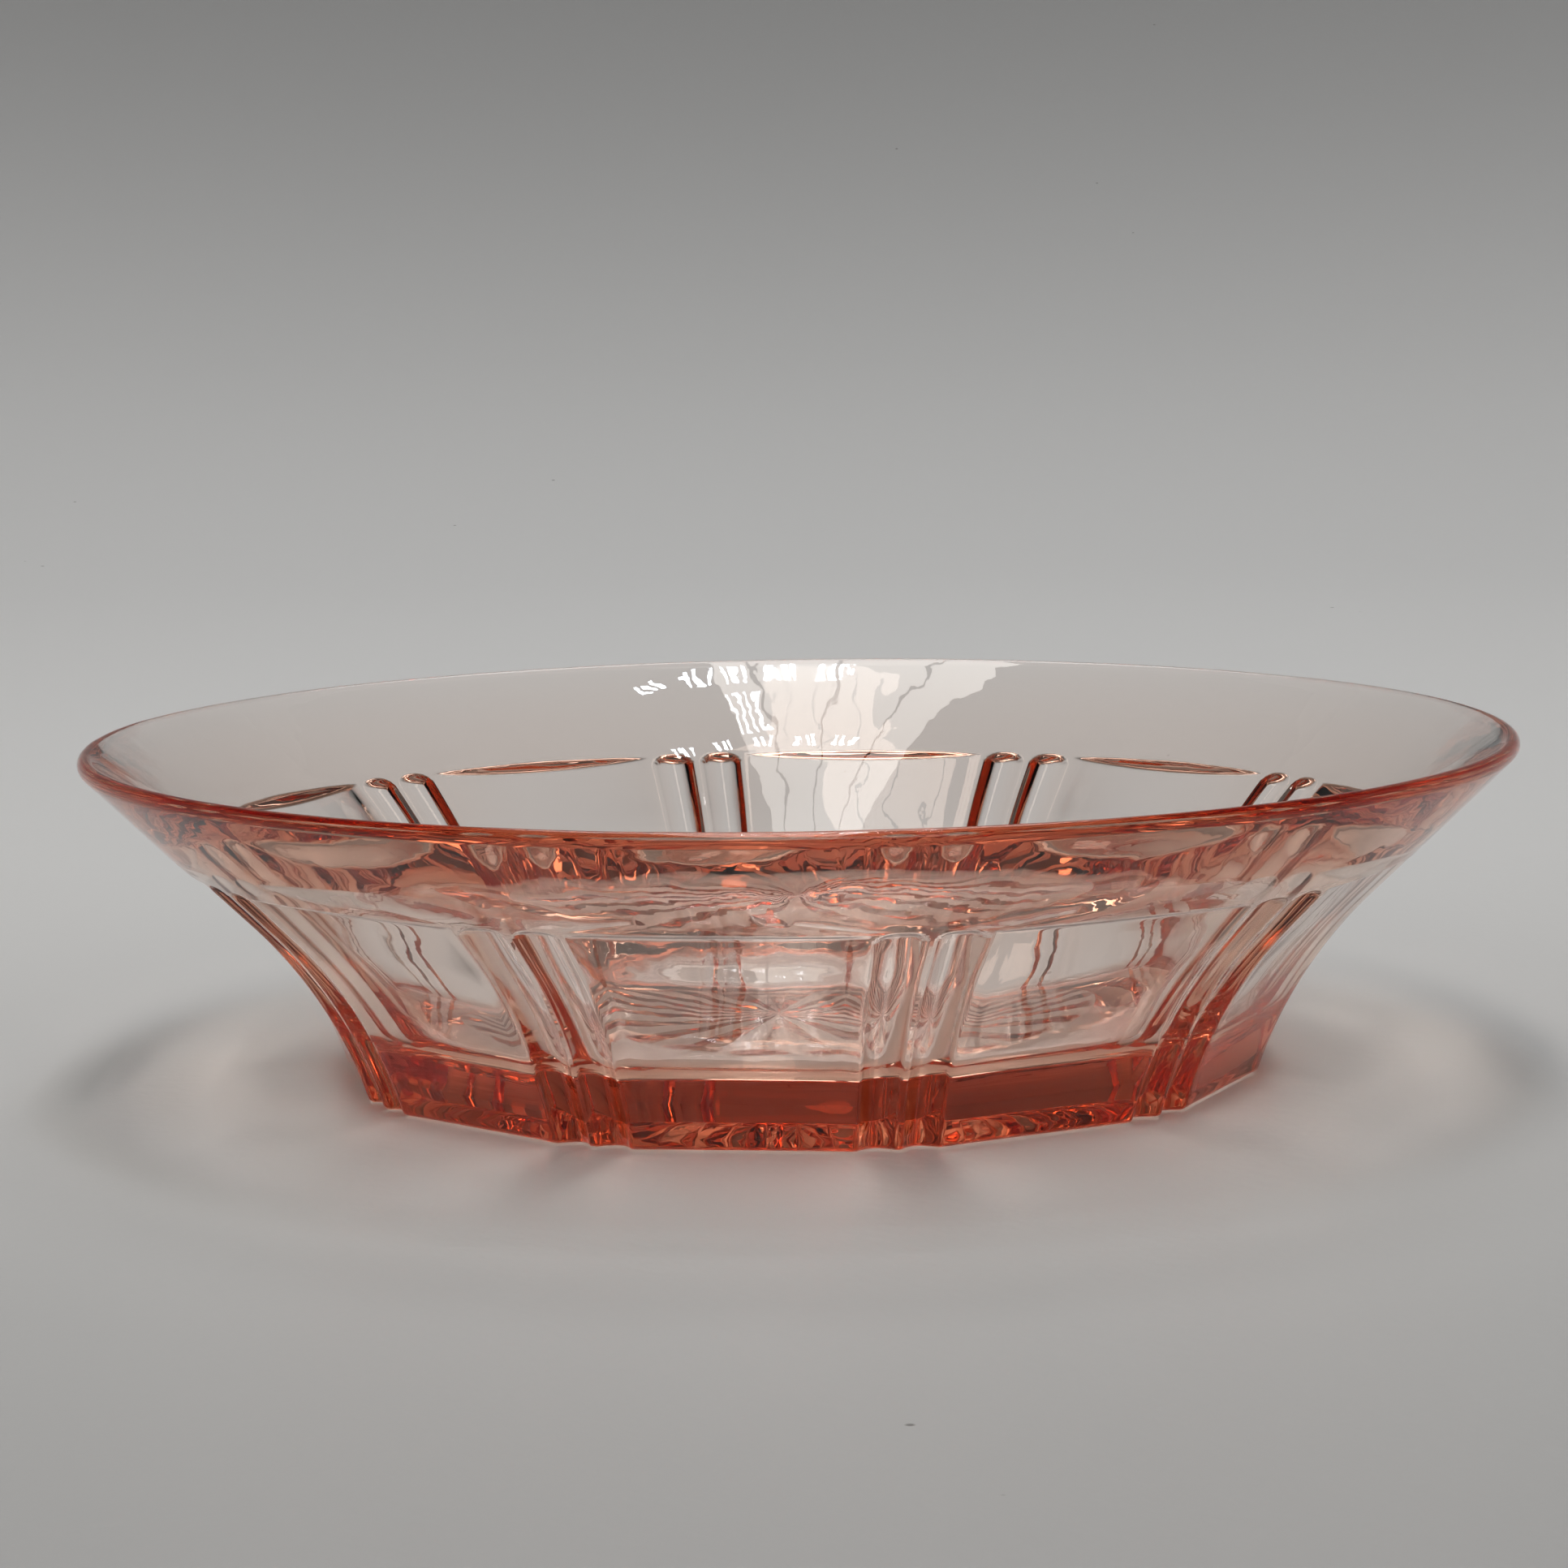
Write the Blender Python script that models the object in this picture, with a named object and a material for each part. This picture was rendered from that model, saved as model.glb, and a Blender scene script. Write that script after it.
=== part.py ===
"""A pressed-glass candy dish: a round, flared, open bowl on a thick flat base.

The dish is one piece of glass. Its outside wall carries ten wide flat panels, parted by ten pairs
of narrow upright flutes, under a smooth band that ends in a round lip. The inside is smooth, and
a star of shallow rays is pressed into the recess under the base.

Metres, +Z up. The origin is the centre of the resting face, and Z is the axis of the bowl.
"""

import math

import bmesh
import bpy
from mathutils import Matrix, Vector

# Overall sizes
RIM_RADIUS = 0.0890         # widest point of the lip
FOOT_RADIUS = 0.0572        # resting end of the outside wall, over the ridges
HEIGHT = 0.0414             # resting face to the top of the lip

# Outside wall, seen in section: two straight lines joined by a long flare
FOOT_LEAN = math.radians(19.5)      # lean of the lower line from upright
BEND_HEIGHT = 0.0133                # where the two lines would meet
FLARE_RADIUS = 0.0550               # round that joins them
FOOT_EDGE_RADIUS = 0.0008           # small round at the resting edge
LIP_RADIUS = 0.0011                 # full round lip

# Inside of the bowl: two straight lines joined by a long flare, set in from the outside wall
FLOOR_HEIGHT = 0.0093               # glass under the inside floor
FLOOR_WALL = 0.0045                 # level width of glass beside the floor, measured to the straight lines
INSIDE_BEND_HEIGHT = 0.0281         # where the two lines would meet
BEND_WALL = 0.0091                  # level width of glass there
INSIDE_FLARE_RADIUS = 0.090
FLOOR_FILLET = 0.0050

# Underside
FOOT_RING_WIDTH = 0.0085            # resting face, from the ridges inwards to the recess
RECESS_DEPTH = 0.0038
RECESS_LEAN = math.radians(69)      # lean of the recess's side from upright
RECESS_RADIUS = FOOT_RADIUS - FOOT_RING_WIDTH - RECESS_DEPTH * math.tan(RECESS_LEAN)
RAYS = 20
RAY_START = 0.005                   # the rays run between these two radii
RAY_END = RECESS_RADIUS - 0.0020
RAY_HEIGHT = 0.00026                # ridge to valley

# Panels and flutes of the outside wall
REPEATS = 10
FIRST_GROUP = math.radians(10.9)    # first pair of flutes, turned from -Y towards +X
TOP_LINE = 0.0280                   # height at which all panels and flutes end
RIDGE_ANGLE = math.radians(0.65)    # ridge between the two flutes of a pair
SIDE_RIDGE_ANGLE = math.radians(0.55)
FLUTE_ANGLE = math.radians(4.52)
FLUTE_SIDE_SLOPE = math.radians(47.7)   # slope that the sides of a flute come up to
FLUTE_ROUNDNESS = 0.63                  # round of its bottom, as a share of its half width
LEDGE_STEEPNESS = 3.5               # depth gained for each unit of height at the top line

# Columns of faces in half a repeat: middle ridge, flute, side ridge, half a panel
HALF_REPEAT_COLUMNS = (1, 5, 1, 3)

# Rows of faces are kept at least this far apart in height
ROW_GAP = 0.0001

# Zones of the outline
UNDERSIDE, OUTSIDE, INSIDE = 0, 1, 2

HALF_REPEAT = math.pi / REPEATS
HALF_REPEAT_ENDS = (
    RIDGE_ANGLE / 2,
    RIDGE_ANGLE / 2 + FLUTE_ANGLE,
    RIDGE_ANGLE / 2 + FLUTE_ANGLE + SIDE_RIDGE_ANGLE,
    HALF_REPEAT,
)
PANEL_HALF_ANGLE = HALF_REPEAT_ENDS[3] - HALF_REPEAT_ENDS[2]
COLUMNS = 2 * REPEATS * sum(HALF_REPEAT_COLUMNS)


def remove_old_objects():
    for old in list(bpy.data.objects):
        bpy.data.objects.remove(old)


def along(lean):
    """Direction up a line of the section that leans outwards from upright."""
    return Vector((math.sin(lean), math.cos(lean)))


def outwards(lean):
    """Direction square to such a line, away from the axis."""
    return Vector((math.cos(lean), -math.sin(lean)))


def tangent_lean(start, centre, radius):
    """Lean of the line from a point that touches a circle, on its inner side if the radius is negative."""
    to_centre = centre - start
    return math.atan2(to_centre.x, to_centre.y) + math.asin(radius / to_centre.length)


def radius_at(height, points):
    """Radius, at a height, of the straight lines through some points of the section."""
    low, high = next(pair for pair in zip(points, points[1:]) if pair[1].y >= height)
    return low.lerp(high, (height - low.y) / (high.y - low.y)).x


def half_turn(before, corner, after):
    """Half of the angle by which the section turns at a corner."""
    return (math.pi - (before - corner).angle(after - corner)) / 2


def arc(centre, first, last, steps):
    """Points of an arc, the short way from one spoke to the other."""
    turn = math.atan2(first.cross(last), first.dot(last))
    return [centre + Matrix.Rotation(turn * step / steps, 2) @ first for step in range(steps + 1)]


def rounded(before, corner, after, reach, steps):
    """Points of the arc that replaces a corner and reaches this far along both its sides."""
    if reach == 0:
        return [corner]
    to_before, to_after = (before - corner).normalized(), (after - corner).normalized()
    radius = reach / math.tan(half_turn(before, corner, after))
    centre = corner + (to_before + to_after).normalized() * math.hypot(radius, reach)
    return arc(centre, corner + to_before * reach - centre, corner + to_after * reach - centre, steps)


def rounded_outline(corners):
    """The section as (point, zone) pairs, its corners rounded as far as there is room.

    A corner is given as (point, radius, steps, zone).
    """
    points = [corner[0] for corner in corners]
    reaches = [0.0] * len(corners)
    for index in range(1, len(corners) - 1):
        radius = corners[index][1]
        if radius > 0:
            reaches[index] = radius * math.tan(half_turn(*points[index - 1:index + 2]))
    shares = [1.0] * len(corners)
    for index in range(len(corners) - 1):
        wanted = reaches[index] + reaches[index + 1]
        room = 0.98 * (points[index + 1] - points[index]).length
        if wanted > room:
            shares[index] = min(shares[index], room / wanted)
            shares[index + 1] = min(shares[index + 1], room / wanted)
    outline = []
    for index, (corner, _, steps, zone) in enumerate(corners):
        before, after = points[max(index - 1, 0)], points[min(index + 1, len(points) - 1)]
        bend = rounded(before, corner, after, reaches[index] * shares[index], steps)
        outline += [(point, zone) for point in bend]
    return outline


def section():
    """The dish's section, from under the centre, round the lip, to the middle of the floor."""
    foot = Vector((FOOT_RADIUS, 0))
    bend = foot + along(FOOT_LEAN) * (BEND_HEIGHT / math.cos(FOOT_LEAN))
    lip = Vector((RIM_RADIUS - LIP_RADIUS, HEIGHT - LIP_RADIUS))
    outer_end = lip + outwards(tangent_lean(bend, lip, LIP_RADIUS)) * LIP_RADIUS
    wall = (foot, bend, outer_end)
    floor_corner = Vector((radius_at(FLOOR_HEIGHT, wall) - FLOOR_WALL, FLOOR_HEIGHT))
    inside_bend = Vector((radius_at(INSIDE_BEND_HEIGHT, wall) - BEND_WALL, INSIDE_BEND_HEIGHT))
    inner_end = lip - outwards(tangent_lean(inside_bend, lip, -LIP_RADIUS)) * LIP_RADIUS
    top = Vector((0, LIP_RADIUS))
    lip_points = arc(lip, outer_end - lip, top, 3) + arc(lip, top, inner_end - lip, 2)[1:]
    corners = [
        (Vector((0, RECESS_DEPTH)), 0, 1, UNDERSIDE),
        (Vector((RAY_START, RECESS_DEPTH)), 0, 1, UNDERSIDE),
        (Vector((RAY_END, RECESS_DEPTH)), 0, 1, UNDERSIDE),
        (Vector((RECESS_RADIUS, RECESS_DEPTH)), 0, 1, UNDERSIDE),
        (Vector((FOOT_RADIUS - FOOT_RING_WIDTH, 0)), 0, 1, UNDERSIDE),
        (foot, FOOT_EDGE_RADIUS, 1, OUTSIDE),
        (bend, FLARE_RADIUS, 5, OUTSIDE),
        *((point, 0, 1, INSIDE) for point in lip_points),
        (inside_bend, INSIDE_FLARE_RADIUS, 4, INSIDE),
        (floor_corner, FLOOR_FILLET, 2, INSIDE),
        (Vector((0, FLOOR_HEIGHT)), 0, 1, INSIDE),
    ]
    return rounded_outline(corners)


def add_row(outline, height):
    """Adds a point to the outside wall of the section at a height, unless one is there."""
    for index in range(len(outline) - 1):
        (low, _), (high, zone) = outline[index], outline[index + 1]
        outside = OUTSIDE in (outline[index][1], zone)
        if outside and low.y + ROW_GAP < height < high.y - ROW_GAP:
            share = (height - low.y) / (high.y - low.y)
            outline.insert(index + 1, (low.lerp(high, share), OUTSIDE))
            return


def column_angle(column):
    """Angle from a group's middle of a column of the outside wall, so that ridges have columns."""
    side = 1 if column >= 0 else -1
    left, start = abs(column), 0.0
    for columns, end in zip(HALF_REPEAT_COLUMNS, HALF_REPEAT_ENDS):
        if left <= columns:
            return side * (start + (end - start) * left / columns)
        left, start = left - columns, end
    return side * HALF_REPEAT


def pattern_depth(angle, radius):
    """Depth of the panels and flutes below the ridges, at an angle from a group's middle."""
    angle = abs(angle)
    flute_start, flute_end, panel_start, _ = HALF_REPEAT_ENDS
    if angle >= panel_start:
        flat = radius * math.cos(PANEL_HALF_ANGLE) / math.cos(HALF_REPEAT - angle)
        return radius - flat
    if flute_start < angle < flute_end:
        across = (2 * angle - flute_start - flute_end) / FLUTE_ANGLE
        side = math.tan(FLUTE_SIDE_SLOPE)
        hollow = math.hypot(FLUTE_ROUNDNESS, side) - math.hypot(FLUTE_ROUNDNESS, side * across)
        return radius * FLUTE_ANGLE / 2 * hollow
    return 0.0


def ray_height(angle, radius):
    """Height of the star's rays, which fade out at both their ends."""
    wave = 2 * abs((angle * RAYS / math.tau) % 1 - 0.5)
    inner_gap, outer_gap = RAY_START / 2, (RECESS_RADIUS - RAY_END) / 2
    within = RAY_START - inner_gap < radius < RAY_END + outer_gap
    return RAY_HEIGHT * wave if within else 0.0


def press_pattern(vert, zone, step):
    """Moves one vertex of the turned blank to where the mould presses it."""
    radius = math.hypot(vert.co.x, vert.co.y)
    height = vert.co.z
    angle = math.tau * step / COLUMNS
    if zone == UNDERSIDE:
        height -= ray_height(angle, radius)
    if zone == OUTSIDE:
        repeat_columns = COLUMNS // REPEATS
        column = (step + repeat_columns // 2) % repeat_columns - repeat_columns // 2
        across = column_angle(column)
        angle += across - math.tau * column / COLUMNS
        depth = pattern_depth(across, radius)
        ledge = LEDGE_STEEPNESS * (TOP_LINE - height) + depth / 2
        radius -= min(depth, max(0.0, ledge))
    turned = FIRST_GROUP + angle
    vert.co = (radius * math.sin(turned), -radius * math.cos(turned), height)


def dish_mesh():
    """Turns the section into a solid blank and presses the pattern into it."""
    outline = section()
    deepest = pattern_depth(HALF_REPEAT, RIM_RADIUS)
    add_row(outline, TOP_LINE + deepest / LEDGE_STEEPNESS / 2)
    add_row(outline, TOP_LINE - deepest / LEDGE_STEEPNESS / 2)

    blank = bmesh.new()
    zone_of = blank.verts.layers.int.new("zone")
    step_of = blank.verts.layers.int.new("step")
    verts = []
    for point, zone in outline:
        vert = blank.verts.new((0, -point.x, point.y))
        vert[zone_of] = zone
        verts.append(vert)
    edges = [blank.edges.new(pair) for pair in zip(verts, verts[1:])]
    bmesh.ops.spin(
        blank, geom=verts + edges, cent=(0, 0, 0), axis=(0, 0, 1),
        angle=math.tau, steps=COLUMNS, use_merge=True,
    )
    for vert in blank.verts:
        turned = math.atan2(vert.co.x, -vert.co.y) % math.tau
        vert[step_of] = round(turned * COLUMNS / math.tau) % COLUMNS
    for vert in blank.verts:
        press_pattern(vert, vert[zone_of], vert[step_of])
    bmesh.ops.remove_doubles(blank, verts=blank.verts, dist=1e-6)
    bmesh.ops.triangulate(blank, faces=blank.faces)
    bmesh.ops.recalc_face_normals(blank, faces=blank.faces)
    mesh = bpy.data.meshes.new("glass_dish")
    blank.to_mesh(mesh)
    blank.free()
    mesh.shade_smooth()
    mesh.set_sharp_from_angle(angle=math.radians(35))
    return mesh


def pink_glass():
    material = bpy.data.materials.new("pink_glass")
    material.use_nodes = True
    shader = material.node_tree.nodes["Principled BSDF"]
    shader.inputs["Base Color"].default_value = (0.95, 0.62, 0.56, 1)
    shader.inputs["Roughness"].default_value = 0.03
    shader.inputs["Metallic"].default_value = 0.0
    shader.inputs["IOR"].default_value = 1.52
    shader.inputs["Transmission Weight"].default_value = 1.0
    return material


def main():
    remove_old_objects()
    dish = bpy.data.objects.new("glass_dish", dish_mesh())
    dish.data.materials.append(pink_glass())
    bpy.context.scene.collection.objects.link(dish)


main()
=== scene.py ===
"""A pink pressed-glass candy dish standing on a pale table, in soft light from overhead.

The dish is one piece of glass. Its section is turned into a solid blank, and the mould's pattern is
pressed into the blank: flat panels and pairs of flutes round the outside, a star of rays underneath.
"""

import math

import bmesh
import bpy
from mathutils import Matrix, Vector, noise


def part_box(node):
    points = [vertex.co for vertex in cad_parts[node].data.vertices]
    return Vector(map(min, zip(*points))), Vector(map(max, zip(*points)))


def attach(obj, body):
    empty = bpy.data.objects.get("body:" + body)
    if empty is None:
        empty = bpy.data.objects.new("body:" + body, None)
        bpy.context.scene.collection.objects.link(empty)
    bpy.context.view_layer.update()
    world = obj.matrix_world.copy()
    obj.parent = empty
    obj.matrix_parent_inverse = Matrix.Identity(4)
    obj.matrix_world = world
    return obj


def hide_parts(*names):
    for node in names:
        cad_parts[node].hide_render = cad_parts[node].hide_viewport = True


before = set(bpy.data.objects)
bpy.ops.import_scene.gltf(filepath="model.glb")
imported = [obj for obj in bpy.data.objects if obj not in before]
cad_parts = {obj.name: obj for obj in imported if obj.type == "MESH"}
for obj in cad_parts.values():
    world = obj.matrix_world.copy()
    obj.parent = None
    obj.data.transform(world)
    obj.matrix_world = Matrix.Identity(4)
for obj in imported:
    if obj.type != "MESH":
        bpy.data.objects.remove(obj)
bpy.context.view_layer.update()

# Overall sizes, from the frame
RIM_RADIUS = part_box("glass_dish")[1].x
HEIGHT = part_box("glass_dish")[1].z

# Outside wall, seen in section
FOOT_RADIUS = 0.0572
FOOT_LEAN = math.radians(19.5)
BEND_HEIGHT = 0.0133
FLARE_RADIUS = 0.0550
FOOT_EDGE_RADIUS = 0.0008
LIP_RADIUS = 0.0011

# Inside of the bowl
FLOOR_HEIGHT = 0.0093
FLOOR_WALL = 0.0045         # level width of glass beside the floor
INSIDE_BEND_HEIGHT = 0.0282
BEND_WALL = 0.0090          # level width of glass at the inside bend
INSIDE_FLARE_RADIUS = 0.093
FLOOR_FILLET = 0.0050
ROUNDS_SHARE = 0.98         # share of a straight run that the rounds at its ends may take

# Underside
FOOT_RING_WIDTH = 0.0085
RECESS_DEPTH = 0.0038
RECESS_LEAN = math.radians(69)
RECESS_EDGE_RADIUS = 0.0015
RECESS_RADIUS = FOOT_RADIUS - FOOT_RING_WIDTH - RECESS_DEPTH * math.tan(RECESS_LEAN)
RAYS = 20
RAY_END = RECESS_RADIUS - 0.0020
RAY_HEIGHT = 0.00026
RAY_GROWTH = 0.3            # share of a ray's length over which it grows
RAY_FADE = 0.0015           # length over which it dies out again

# Panels and flutes
REPEATS = 10
FIRST_GROUP = math.radians(10.9)
TOP_LINE = 0.0280
RIDGE_ANGLE = math.radians(0.65)
SIDE_RIDGE_ANGLE = math.radians(0.55)
FLUTE_ANGLE = math.radians(4.52)
FLUTE_SIDE_SLOPE = math.radians(47.7)
FLUTE_ROUNDNESS = 0.63      # round of a flute's bottom, as a share of its half width
LEDGE_STEEPNESS = 3.5       # depth gained for each unit of height at the top line
LEDGE_SOFTNESS = 0.00012
PANEL_CORNER = 0.0016
FLUTE_CORNER = 0.6          # round at a flute's upper end, as a share of its half width

# Columns of faces in half a repeat: middle ridge, flute, side ridge, half a panel
HALF_REPEAT_COLUMNS = (2, 14, 2, 9)
HALF_REPEAT = math.pi / REPEATS
HALF_REPEAT_ENDS = (
    RIDGE_ANGLE / 2,
    RIDGE_ANGLE / 2 + FLUTE_ANGLE,
    RIDGE_ANGLE / 2 + FLUTE_ANGLE + SIDE_RIDGE_ANGLE,
    HALF_REPEAT,
)
PANEL_HALF_ANGLE = HALF_REPEAT_ENDS[3] - HALF_REPEAT_ENDS[2]
COLUMNS = 2 * REPEATS * sum(HALF_REPEAT_COLUMNS)

# Rows of faces: close together at the top line, wider below it, and nowhere longer than this
LEDGE_ROW = 0.00012
LEDGE_ROWS_ABOVE = 5
LEDGE_ROWS_BELOW = 9
WIDER_ROW = 0.0004
WIDER_ROWS = 3
LONGEST_ROW = 0.0019

# Unevenness of the fire-polished surface: long waves, and shorter, lower ones on them
WAVE_HEIGHT = 0.00004
WAVE_LENGTH = 0.014
SHORT_WAVE_SHARE = 0.4
SHORT_WAVES_PER_LONG = 2.7

UNDERSIDE, OUTSIDE, INSIDE = 0, 1, 2


# ---------------------------------------------------------------- the dish's section

def along(lean):
    """Direction up a line of the section that leans outwards from upright."""
    return Vector((math.sin(lean), math.cos(lean)))


def outwards(lean):
    """Direction square to such a line, away from the axis."""
    return Vector((math.cos(lean), -math.sin(lean)))


def tangent_lean(start, centre, radius):
    """Lean of the line from a point that touches a circle, on its inner side if the radius is negative."""
    to_centre = centre - start
    return math.atan2(to_centre.x, to_centre.y) + math.asin(radius / to_centre.length)


def radius_at(height, points):
    """Radius, at a height, of the straight lines through some points of the section."""
    low, high = next(pair for pair in zip(points, points[1:]) if pair[1].y >= height)
    return low.lerp(high, (height - low.y) / (high.y - low.y)).x


def half_turn(before, corner, after):
    """Half of the angle by which the section turns at a corner."""
    return (math.pi - (before - corner).angle(after - corner)) / 2


def arc(centre, first, last, steps):
    """Points of an arc, the short way from one spoke to the other."""
    turn = math.atan2(first.cross(last), first.dot(last))
    return [centre + Matrix.Rotation(turn * step / steps, 2) @ first for step in range(steps + 1)]


def rounded(before, corner, after, reach, steps):
    """Points of the arc that replaces a corner and reaches this far along both its sides."""
    if reach == 0:
        return [corner]
    to_before, to_after = (before - corner).normalized(), (after - corner).normalized()
    radius = reach / math.tan(half_turn(before, corner, after))
    centre = corner + (to_before + to_after).normalized() * math.hypot(radius, reach)
    return arc(centre, corner + to_before * reach - centre, corner + to_after * reach - centre, steps)


def rounded_outline(corners):
    """The section as (point, zone) pairs, its corners rounded as far as there is room.

    A corner is given as (point, radius, steps, zone).
    """
    points = [corner[0] for corner in corners]
    reaches = [0.0] * len(corners)
    for index in range(1, len(corners) - 1):
        radius = corners[index][1]
        if radius > 0:
            reaches[index] = radius * math.tan(half_turn(*points[index - 1:index + 2]))
    shares = [1.0] * len(corners)
    for index in range(len(corners) - 1):
        wanted = reaches[index] + reaches[index + 1]
        room = ROUNDS_SHARE * (points[index + 1] - points[index]).length
        if wanted > room:
            shares[index] = min(shares[index], room / wanted)
            shares[index + 1] = min(shares[index + 1], room / wanted)
    outline = []
    for index, (corner, _, steps, zone) in enumerate(corners):
        before, after = points[max(index - 1, 0)], points[min(index + 1, len(points) - 1)]
        bend = rounded(before, corner, after, reaches[index] * shares[index], steps)
        outline += [(point, zone) for point in bend]
    return outline


def section():
    """The dish's section, from under the centre, round the lip, to the middle of the floor."""
    foot = Vector((FOOT_RADIUS, 0))
    bend = foot + along(FOOT_LEAN) * (BEND_HEIGHT / math.cos(FOOT_LEAN))
    lip = Vector((RIM_RADIUS - LIP_RADIUS, HEIGHT - LIP_RADIUS))
    outer_end = lip + outwards(tangent_lean(bend, lip, LIP_RADIUS)) * LIP_RADIUS
    wall = (foot, bend, outer_end)
    floor_corner = Vector((radius_at(FLOOR_HEIGHT, wall) - FLOOR_WALL, FLOOR_HEIGHT))
    inside_bend = Vector((radius_at(INSIDE_BEND_HEIGHT, wall) - BEND_WALL, INSIDE_BEND_HEIGHT))
    inner_end = lip - outwards(tangent_lean(inside_bend, lip, -LIP_RADIUS)) * LIP_RADIUS
    top = Vector((0, LIP_RADIUS))
    lip_points = arc(lip, outer_end - lip, top, 9) + arc(lip, top, inner_end - lip, 5)[1:]
    corners = [
        (Vector((0, RECESS_DEPTH)), 0, 1, UNDERSIDE),
        (Vector((RAY_END, RECESS_DEPTH)), 0, 1, UNDERSIDE),
        (Vector((RECESS_RADIUS, RECESS_DEPTH)), RECESS_EDGE_RADIUS, 3, UNDERSIDE),
        (Vector((FOOT_RADIUS - FOOT_RING_WIDTH, 0)), RECESS_EDGE_RADIUS, 3, UNDERSIDE),
        (foot, FOOT_EDGE_RADIUS, 4, OUTSIDE),
        (bend, FLARE_RADIUS, 26, OUTSIDE),
        *((point, 0, 1, INSIDE) for point in lip_points),
        (inside_bend, INSIDE_FLARE_RADIUS, 24, INSIDE),
        (floor_corner, FLOOR_FILLET, 10, INSIDE),
        (Vector((0, FLOOR_HEIGHT)), 0, 1, INSIDE),
    ]
    return rounded_outline(corners)


def divided(outline, longest):
    """The same outline with its long straight runs cut into even steps."""
    finer = [outline[0]]
    for (start, _), (end, zone) in zip(outline, outline[1:]):
        steps = max(1, math.ceil((end - start).length / longest))
        finer += [(start.lerp(end, step / steps), zone) for step in range(1, steps + 1)]
    return finer


def add_row(outline, height):
    """Adds a point to the outside wall of the section at a height."""
    for index in range(len(outline) - 1):
        (low, zone), (high, next_zone) = outline[index], outline[index + 1]
        outside = OUTSIDE in (zone, next_zone) and low.x > FOOT_RADIUS - FOOT_EDGE_RADIUS
        if outside and low.y < height < high.y:
            share = (height - low.y) / (high.y - low.y)
            outline.insert(index + 1, (low.lerp(high, share), OUTSIDE))
            return


# ---------------------------------------------------------------- the mould's pattern

def column_angle(column):
    """Angle from a group's middle of a column of the outside wall, so that ridges have columns."""
    side = 1 if column >= 0 else -1
    left, start = abs(column), 0.0
    for columns, end in zip(HALF_REPEAT_COLUMNS, HALF_REPEAT_ENDS):
        if left <= columns:
            return side * (start + (end - start) * left / columns)
        left, start = left - columns, end
    return side * HALF_REPEAT


def soft_min(a, b, softness):
    """The smaller of two depths, with the corner between them rounded off."""
    bend = math.sqrt((a - b) ** 2 + 4 * softness ** 2)
    return (a + b - bend) / 2 + softness * min(1.0, a / (4 * softness))


def pattern_depth(angle, radius):
    """Depth of the panels and flutes below the ridges, at an angle from a group's middle."""
    angle = abs(angle)
    flute_start, flute_end, panel_start, _ = HALF_REPEAT_ENDS
    if angle >= panel_start:
        flat = radius * math.cos(PANEL_HALF_ANGLE) / math.cos(HALF_REPEAT - angle)
        return radius - flat
    if flute_start < angle < flute_end:
        across = (2 * angle - flute_start - flute_end) / FLUTE_ANGLE
        side = math.tan(FLUTE_SIDE_SLOPE)
        hollow = math.hypot(FLUTE_ROUNDNESS, side) - math.hypot(FLUTE_ROUNDNESS, side * across)
        return radius * FLUTE_ANGLE / 2 * hollow
    return 0.0


def top_line(angle, radius):
    """Height at which the pattern ends, which drops at a panel's and a flute's rounded corners."""
    angle = abs(angle)
    flute_start, flute_end, panel_start, _ = HALF_REPEAT_ENDS
    if angle >= panel_start:
        to_edge = (angle - panel_start) * radius
        corner = PANEL_CORNER
    elif flute_start < angle < flute_end:
        to_edge = min(angle - flute_start, flute_end - angle) * radius
        corner = FLUTE_ANGLE / 2 * radius * FLUTE_CORNER
    else:
        return TOP_LINE
    if to_edge >= corner:
        return TOP_LINE
    return TOP_LINE - corner + math.sqrt(corner ** 2 - (corner - to_edge) ** 2)


def ray_height(angle, radius):
    """Height of the star's rays, which grow from the centre and stop short of the recess's edge."""
    wave = 2 * abs((angle * RAYS / math.tau) % 1 - 0.5)
    grown = min(1.0, radius / (RAY_GROWTH * RAY_END))
    kept = min(1.0, max(0.0, (RAY_END + RAY_FADE / 3 - radius) / RAY_FADE))
    return RAY_HEIGHT * wave * grown * kept


def press_pattern(vert, zone, step):
    """Moves one vertex of the turned blank to where the mould presses it."""
    radius = math.hypot(vert.co.x, vert.co.y)
    height = vert.co.z
    angle = math.tau * step / COLUMNS
    if zone == UNDERSIDE:
        height -= ray_height(angle, radius)
    if zone == OUTSIDE:
        repeat_columns = COLUMNS // REPEATS
        column = (step + repeat_columns // 2) % repeat_columns - repeat_columns // 2
        across = column_angle(column)
        angle += across - math.tau * column / COLUMNS
        depth = pattern_depth(across, radius)
        below = top_line(across, radius) + depth / (2 * LEDGE_STEEPNESS) - height
        if depth > 0 and below > 0:
            radius -= max(0.0, soft_min(depth, LEDGE_STEEPNESS * below, LEDGE_SOFTNESS))
    turned = FIRST_GROUP + angle
    vert.co = (radius * math.sin(turned), -radius * math.cos(turned), height)


def polish(blank):
    """Gives all the glass above the foot the faint waves that a fire polish leaves."""
    blank.normal_update()
    moves = []
    for vert in blank.verts:
        if vert.co.z < 2 * FOOT_EDGE_RADIUS:
            continue
        wave = noise.noise(vert.co / WAVE_LENGTH)
        wave += SHORT_WAVE_SHARE * noise.noise(vert.co * SHORT_WAVES_PER_LONG / WAVE_LENGTH)
        moves.append((vert, vert.normal * (wave * WAVE_HEIGHT)))
    for vert, move in moves:
        vert.co += move


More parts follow.
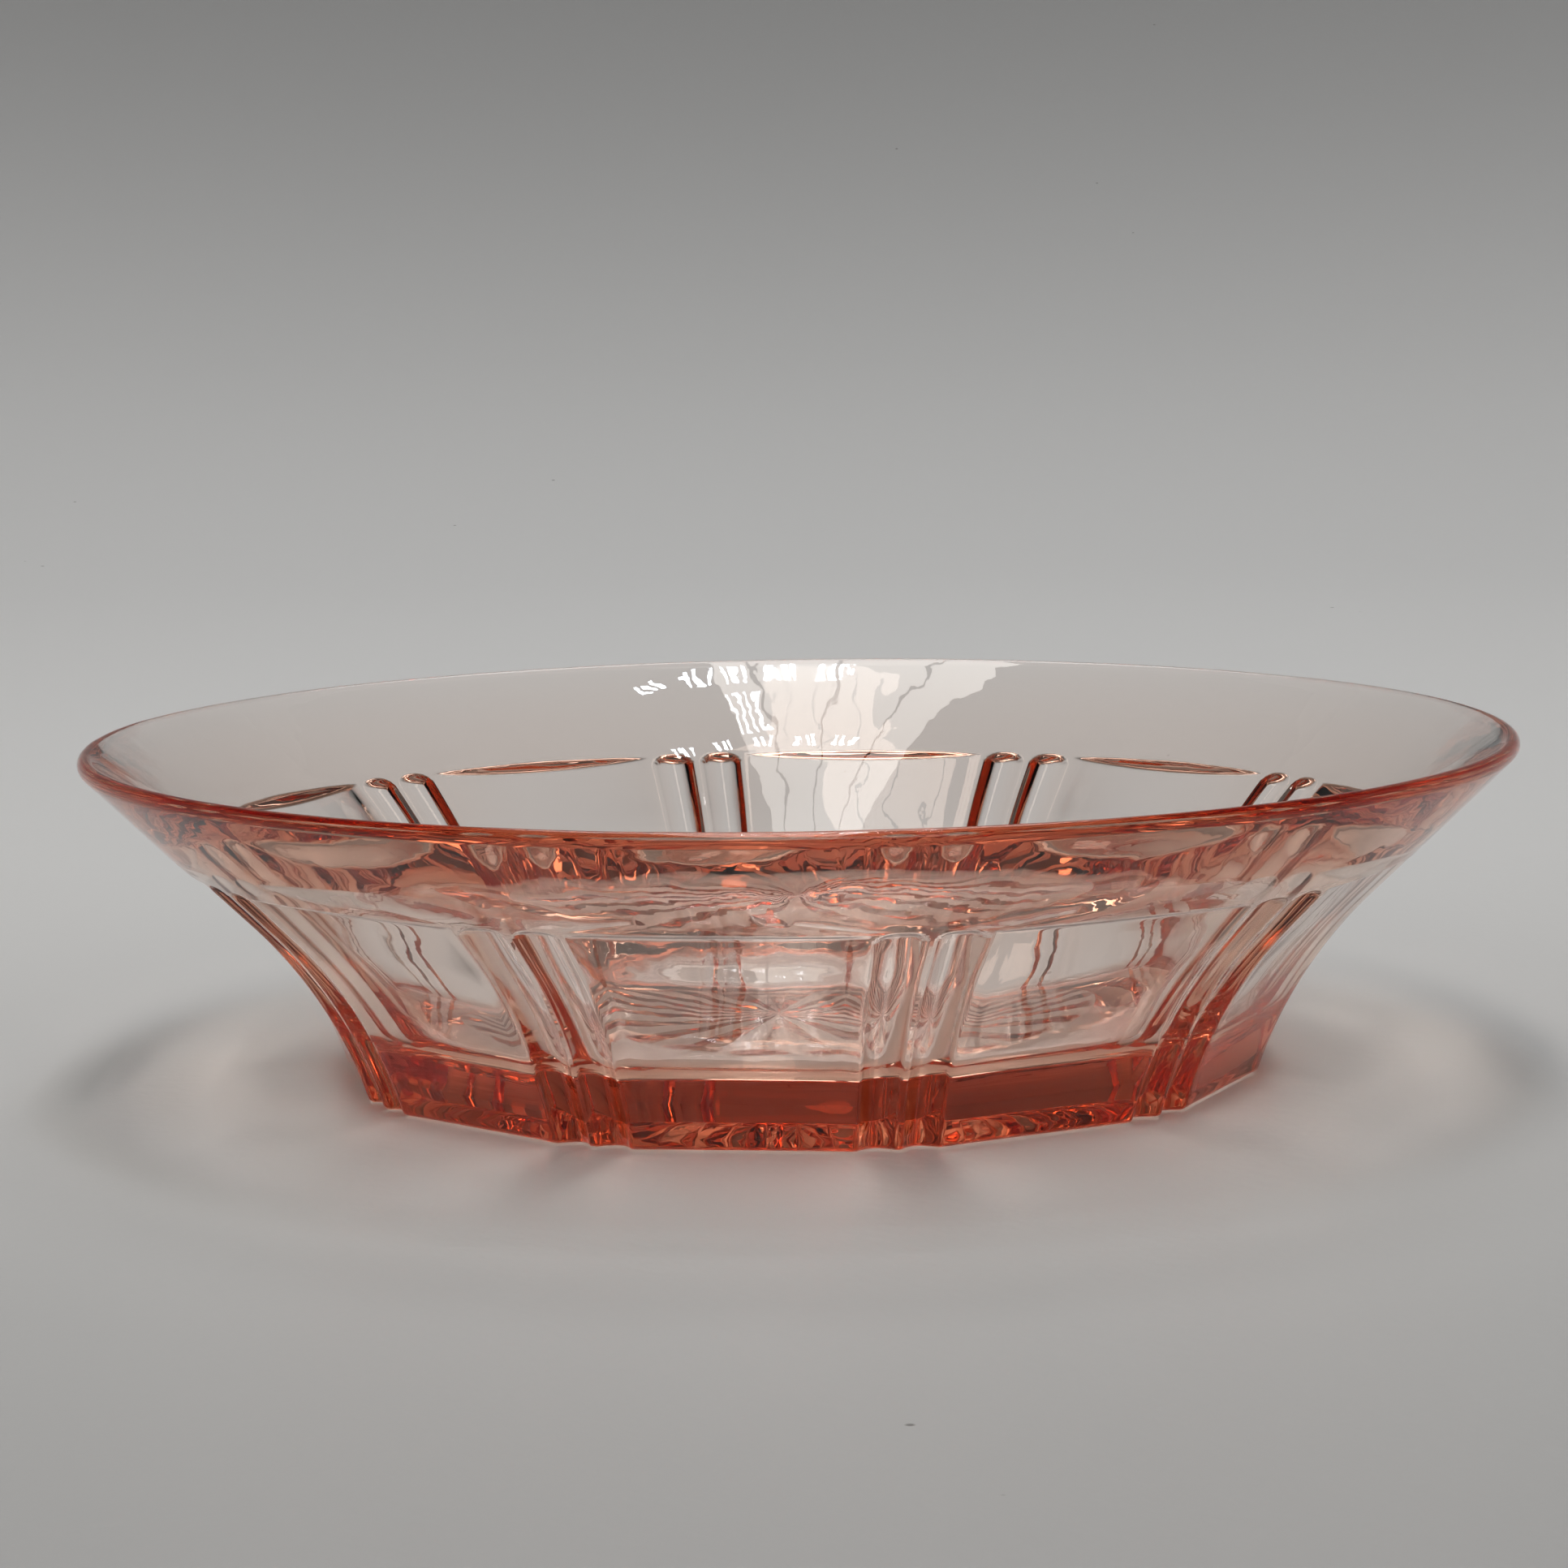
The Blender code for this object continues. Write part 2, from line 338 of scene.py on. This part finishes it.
def dish_mesh():
    """Turns the section into a solid blank and presses the pattern into it."""
    outline = section()
    for row in range(-LEDGE_ROWS_ABOVE, LEDGE_ROWS_BELOW + 1):
        add_row(outline, TOP_LINE - LEDGE_ROW * row)
    for row in range(1, WIDER_ROWS + 1):
        add_row(outline, TOP_LINE - LEDGE_ROW * LEDGE_ROWS_BELOW - WIDER_ROW * row)
    outline = divided(outline, LONGEST_ROW)

    blank = bmesh.new()
    zone_of = blank.verts.layers.int.new("zone")
    step_of = blank.verts.layers.int.new("step")
    verts = []
    for point, zone in outline:
        vert = blank.verts.new((0, -point.x, point.y))
        vert[zone_of] = zone
        verts.append(vert)
    edges = [blank.edges.new(pair) for pair in zip(verts, verts[1:])]
    bmesh.ops.spin(
        blank, geom=verts + edges, cent=(0, 0, 0), axis=(0, 0, 1),
        angle=math.tau, steps=COLUMNS, use_merge=True,
    )
    for vert in blank.verts:
        turned = math.atan2(vert.co.x, -vert.co.y) % math.tau
        vert[step_of] = round(turned * COLUMNS / math.tau) % COLUMNS
    for vert in blank.verts:
        press_pattern(vert, vert[zone_of], vert[step_of])
    bmesh.ops.remove_doubles(blank, verts=blank.verts, dist=1e-6)
    bmesh.ops.recalc_face_normals(blank, faces=blank.faces)
    polish(blank)
    mesh = bpy.data.meshes.new("pressed_glass_dish")
    blank.to_mesh(mesh)
    blank.free()
    mesh.shade_smooth()
    return mesh


# ---------------------------------------------------------------- materials

def new_material(name):
    material = bpy.data.materials.new(name)
    material.use_nodes = True
    material.node_tree.nodes.clear()
    return material, material.node_tree.nodes, material.node_tree.links


def new_group(name, outputs):
    """A node group fed with object coordinates, with its output node and named outputs."""
    group = bpy.data.node_groups.new(name, "ShaderNodeTree")
    for socket, kind in outputs.items():
        group.interface.new_socket(name=socket, in_out="OUTPUT", socket_type=kind)
    place = group.nodes.new("ShaderNodeTexCoord").outputs["Object"]
    return group, place, group.nodes.new("NodeGroupOutput")


def noise_texture(group, place, scale, detail):
    texture = group.nodes.new("ShaderNodeTexNoise")
    texture.inputs["Scale"].default_value = scale
    texture.inputs["Detail"].default_value = detail
    group.links.new(place, texture.inputs["Vector"])
    return texture.outputs["Fac"]


def remapped(group, value, low, high, to_low, to_high):
    """A value stretched from one range to another and held inside it."""
    stretch = group.nodes.new("ShaderNodeMapRange")
    for socket, number in zip(("From Min", "From Max", "To Min", "To Max"), (low, high, to_low, to_high)):
        stretch.inputs[socket].default_value = number
    group.links.new(value, stretch.inputs["Value"])
    return stretch.outputs["Result"]


def combined(group, operation, first, second):
    """Two values put together by one arithmetic step."""
    step = group.nodes.new("ShaderNodeMath")
    step.operation = operation
    for socket, value in zip(step.inputs, (first, second)):
        if isinstance(value, (int, float)):
            socket.default_value = value
        else:
            group.links.new(value, socket)
    return step.outputs["Value"]


# Scales of the patterns on the glass and on the table, and the colours of their specks
RIPPLE_SCALE = 130
MOULD_MARK_SCALE = 900
MOULD_MARK_SHARE = 0.03
SMEAR_SCALE = 38
SEED_SCALE = 160
SEED_PATCH_SCALE = 60
TABLE_SPECK_SCALE = 55
TABLE_SPECK_PATCH_SCALE = 21
TABLE_GRAIN_SCALE = 400
SEED_COLOUR = (0.30, 0.24, 0.22, 1)
TABLE_SPECK_COLOUR = (0.12, 0.11, 0.10, 1)

# Painted shade and a painted pool of light on the table along Y: where the shading starts and ends, and the
# greys between, each with its place
SHADING_START, SHADING_END = -0.25, 1.4
START_GREY = (0.50, 0.50, 0.498, 1)
END_GREY = (0.34, 0.34, 0.338, 1)
GREYS_BETWEEN = ((0.12, 0.70), (0.26, 0.95), (0.60, 0.95), (0.78, 0.88))

# The tint of the glass, and how fast it builds up with depth
GLASS_IOR = 1.52
GLASS_TINT = (0.915, 0.353, 0.03, 1)
GLASS_TINT_DENSITY = 36.0


def fire_polish():
    """The soft ripple and the fine mould marks of pressed glass."""
    group, place, output = new_group("fire_polish", {"Normal": "NodeSocketVector"})
    squashed = group.nodes.new("ShaderNodeVectorMath")
    squashed.operation = "MULTIPLY"
    squashed.inputs[1].default_value = (1, 1, 0.35)
    group.links.new(place, squashed.inputs[0])
    ripple = noise_texture(group, squashed.outputs["Vector"], RIPPLE_SCALE, 2)
    marks = noise_texture(group, place, MOULD_MARK_SCALE, 1)
    height = combined(group, "ADD", ripple, combined(group, "MULTIPLY", marks, MOULD_MARK_SHARE))
    bump = group.nodes.new("ShaderNodeBump")
    bump.inputs["Strength"].default_value = 0.35
    bump.inputs["Distance"].default_value = 0.00012
    group.links.new(height, bump.inputs["Height"])
    group.links.new(bump.outputs["Normal"], output.inputs["Normal"])
    return group


def handling():
    """Faint smears that dull the shine in places, and a few specks of dust and seed in the glass."""
    group, place, output = new_group("handling", {"Dullness": "NodeSocketFloat", "Tint": "NodeSocketColor"})
    smears = remapped(group, noise_texture(group, place, SMEAR_SCALE, 3), 0.58, 0.80, 0.0, 0.05)
    group.links.new(smears, output.inputs["Dullness"])
    cells = group.nodes.new("ShaderNodeTexVoronoi")
    cells.inputs["Scale"].default_value = SEED_SCALE
    group.links.new(place, cells.inputs["Vector"])
    speck = remapped(group, cells.outputs["Distance"], 0.03, 0.06, 1.0, 0.0)
    patchy = remapped(group, noise_texture(group, place, SEED_PATCH_SCALE, 0), 0.60, 0.64, 0.0, 0.6)
    mix = group.nodes.new("ShaderNodeMix")
    mix.data_type = "RGBA"
    mix.inputs["A"].default_value = (1, 1, 1, 1)
    mix.inputs["B"].default_value = SEED_COLOUR
    group.links.new(combined(group, "MULTIPLY", speck, patchy), mix.inputs["Factor"])
    group.links.new(mix.outputs["Result"], output.inputs["Tint"])
    return group


def group_node(nodes, group):
    node = nodes.new("ShaderNodeGroup")
    node.node_tree = group
    return node


def pink_glass():
    """Clear glass that takes its salmon pink, and its deep orange-red where thick, from its depth."""
    material, nodes, links = new_material("pink_glass")
    output = nodes.new("ShaderNodeOutputMaterial")
    shader = nodes.new("ShaderNodeBsdfPrincipled")
    shader.inputs["Metallic"].default_value = 0.0
    shader.inputs["IOR"].default_value = GLASS_IOR
    shader.inputs["Transmission Weight"].default_value = 1.0
    worn = group_node(nodes, handling())
    links.new(worn.outputs["Tint"], shader.inputs["Base Color"])
    links.new(worn.outputs["Dullness"], shader.inputs["Roughness"])
    links.new(group_node(nodes, fire_polish()).outputs["Normal"], shader.inputs["Normal"])
    depth = nodes.new("ShaderNodeVolumeAbsorption")
    depth.inputs["Color"].default_value = GLASS_TINT
    depth.inputs["Density"].default_value = GLASS_TINT_DENSITY
    links.new(shader.outputs["BSDF"], output.inputs["Surface"])
    links.new(depth.outputs["Volume"], output.inputs["Volume"])
    return material


def paper_with_painted_shade():
    """The table's colour, with painted shade towards the front and far behind and a painted pool of light
    between them, and a few specks.
    """
    sockets = {"Colour": "NodeSocketColor", "Normal": "NodeSocketVector"}
    group, place, output = new_group("paper_with_painted_shade", sockets)
    split = group.nodes.new("ShaderNodeSeparateXYZ")
    group.links.new(place, split.inputs["Vector"])
    # Painted shade and light: the table's grey is darkest at the front and far behind, and lightest just
    # behind the dish
    shade = group.nodes.new("ShaderNodeValToRGB")
    shade.color_ramp.interpolation = "B_SPLINE"
    stops = shade.color_ramp.elements
    stops[0].color = START_GREY
    stops[1].color = END_GREY
    for position, grey in GREYS_BETWEEN:
        stops.new(position).color = (grey, grey, grey * 0.995, 1)
    distance = remapped(group, split.outputs["Y"], SHADING_START, SHADING_END, 0.0, 1.0)
    group.links.new(distance, shade.inputs["Fac"])
    cells = group.nodes.new("ShaderNodeTexVoronoi")
    cells.inputs["Scale"].default_value = TABLE_SPECK_SCALE
    group.links.new(place, cells.inputs["Vector"])
    speck = remapped(group, cells.outputs["Distance"], 0.02, 0.035, 0.75, 0.0)
    patchy = remapped(group, noise_texture(group, place, TABLE_SPECK_PATCH_SCALE, 0), 0.60, 0.62, 0.0, 1.0)
    mix = group.nodes.new("ShaderNodeMix")
    mix.data_type = "RGBA"
    mix.inputs["B"].default_value = TABLE_SPECK_COLOUR
    group.links.new(combined(group, "MULTIPLY", speck, patchy), mix.inputs["Factor"])
    group.links.new(shade.outputs["Color"], mix.inputs["A"])
    group.links.new(mix.outputs["Result"], output.inputs["Colour"])
    bump = group.nodes.new("ShaderNodeBump")
    bump.inputs["Strength"].default_value = 0.15
    bump.inputs["Distance"].default_value = 0.0005
    group.links.new(noise_texture(group, place, TABLE_GRAIN_SCALE, 2), bump.inputs["Height"])
    group.links.new(bump.outputs["Normal"], output.inputs["Normal"])
    return group


def pale_table():
    material, nodes, links = new_material("pale_table")
    output = nodes.new("ShaderNodeOutputMaterial")
    shader = nodes.new("ShaderNodeBsdfPrincipled")
    paper = group_node(nodes, paper_with_painted_shade())
    links.new(paper.outputs["Colour"], shader.inputs["Base Color"])
    links.new(paper.outputs["Normal"], shader.inputs["Normal"])
    shader.inputs["Roughness"].default_value = 0.4
    links.new(shader.outputs["BSDF"], output.inputs["Surface"])
    return material


# ---------------------------------------------------------------- the stage

TABLE_RADIUS = 0.7
SWEEP_RADIUS = 1.3
BACKDROP_HEIGHT = 1.5
TABLE_DROP = 0.0002


def backdrop():
    """A round table that sweeps up into a low pale wall all round."""
    stage = bmesh.new()
    centre = stage.verts.new((0, 0, 0))
    points = [(TABLE_RADIUS / 2, 0), (TABLE_RADIUS, 0)]
    for step in range(1, 49):
        angle = math.pi / 2 * step / 48
        points.append((TABLE_RADIUS + SWEEP_RADIUS * math.sin(angle), SWEEP_RADIUS * (1 - math.cos(angle))))
    points.append((TABLE_RADIUS + SWEEP_RADIUS, BACKDROP_HEIGHT))
    verts = [centre] + [stage.verts.new((x, 0, z)) for x, z in points]
    edges = [stage.edges.new(pair) for pair in zip(verts, verts[1:])]
    bmesh.ops.spin(
        stage, geom=verts + edges, cent=(0, 0, 0), axis=(0, 0, 1),
        angle=math.tau, steps=96, use_merge=True,
    )
    bmesh.ops.remove_doubles(stage, verts=stage.verts, dist=1e-5)
    bmesh.ops.translate(stage, verts=stage.verts, vec=(0, 0, -TABLE_DROP))
    bmesh.ops.recalc_face_normals(stage, faces=stage.faces)
    mesh = bpy.data.meshes.new("table")
    stage.to_mesh(mesh)
    stage.free()
    mesh.shade_smooth()
    table = bpy.data.objects.new("table", mesh)
    table.data.materials.append(pale_table())
    bpy.context.scene.collection.objects.link(table)


def softbox(name, place, target, width, depth, radiance, colour):
    """A soft rectangular light that faces a target."""
    light = bpy.data.lights.new(name, "AREA")
    light.shape = "RECTANGLE"
    light.size, light.size_y = width, depth
    light.energy = radiance * math.pi * width * depth
    light.color = colour
    lamp = bpy.data.objects.new(name, light)
    lamp.location = place
    lamp.rotation_euler = (Vector(target) - Vector(place)).to_track_quat("-Z", "Y").to_euler()
    bpy.context.scene.collection.objects.link(lamp)


CREAM = (1.0, 0.95, 0.89)
LAMP_BLUE = (0.80, 0.90, 1.0)
TUBE_BLUE = (0.85, 0.93, 1.0)
WINDOW_LEFT = -0.20
WINDOW_Y = -0.1
PANE_WIDTHS = (0.065, 0.085, 0.075, 0.05)
PANE_GAP = 0.005
PANE_LENGTH = 1.3
PANE_HEIGHT = 1.15
LAMP_ROWS = ((0.07, 0.070), (0.40, 0.048))      # each row's Y, and the distance between its lamps
LAMPS_IN_ROW = 5
LAMP_ROWS_X = 0.06
BAR_SPACING = 0.012
TUBE_SPACING = 0.013
LAMP_HEIGHT = 1.13


def window_panes():
    """A roof window of four long cream panes, parted by dark bars."""
    left = WINDOW_LEFT
    for index, width in enumerate(PANE_WIDTHS):
        x = left + width / 2
        place = (x, WINDOW_Y, PANE_HEIGHT)
        softbox(f"cream_{index}", place, (x, WINDOW_Y, 0), width, PANE_LENGTH, 4.5, CREAM)
        left += width + PANE_GAP


def lamp_rows():
    """Two rows of small bluish lamps of three bars each, and four thin tubes between the rows."""
    for row, (y, spread) in enumerate(LAMP_ROWS):
        for column in range(LAMPS_IN_ROW):
            for bar in range(3):
                x = LAMP_ROWS_X + spread * (LAMPS_IN_ROW // 2 - column) + BAR_SPACING * (bar - 1)
                name = f"lamp_{row}_{column}_{bar}"
                softbox(name, (x, y, LAMP_HEIGHT), (x, y, 0), 0.006, 0.045, 40, LAMP_BLUE)
    for tube in range(4):
        x = 0.045 + TUBE_SPACING * tube
        softbox(f"tube_{tube}", (x, 0.22, LAMP_HEIGHT), (x, 0.22, 0), 0.004, 0.2, 30, TUBE_BLUE)


def lights():
    window_panes()
    lamp_rows()
    softbox("front", (0, -1.5, 1.25), (0, 0, 0), 1.6, 0.8, 1.35, (1.0, 0.98, 0.96))
    softbox("rear", (0, 1.3, 1.6), (0, 0.4, 0), 0.8, 0.8, 2.3, (1.0, 1.0, 1.0))
    world = bpy.data.worlds.new("room")
    world.use_nodes = True
    world.node_tree.nodes["Background"].inputs["Color"].default_value = (0.06, 0.06, 0.06, 1)
    bpy.context.scene.world = world


CAMERA_PLACE = Vector((0.0, -0.5911, 0.1125))
CAMERA_AIM = Vector((-0.0018, 0.0, 0.0350))
CAMERA_ROLL = math.radians(0.876)
CAMERA_LENS = 109.7


def camera():
    lens = bpy.data.cameras.new("camera")
    lens.lens = CAMERA_LENS
    lens.sensor_width = 36
    viewer = bpy.data.objects.new("camera", lens)
    facing = (CAMERA_AIM - CAMERA_PLACE).to_track_quat("-Z", "Y").to_matrix().to_4x4()
    roll = Vector((0, 0, 1))
    viewer.matrix_world = Matrix.Translation(CAMERA_PLACE) @ facing @ Matrix.Rotation(-CAMERA_ROLL, 4, roll)
    bpy.context.scene.collection.objects.link(viewer)
    bpy.context.scene.camera = viewer


def light_paths():
    """Enough bounces for light that is thrown about inside the thick base."""
    bpy.context.scene.view_settings.view_transform = "Standard"
    paths = bpy.context.scene.cycles
    paths.max_bounces = 24
    paths.transmission_bounces = 24
    paths.glossy_bounces = 16
    paths.blur_glossy = 0.1


dish = bpy.data.objects.new("pressed_glass_dish", dish_mesh())
dish.data.materials.append(pink_glass())
bpy.context.scene.collection.objects.link(dish)
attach(dish, "root")
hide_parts("glass_dish")

backdrop()
lights()
camera()
light_paths()
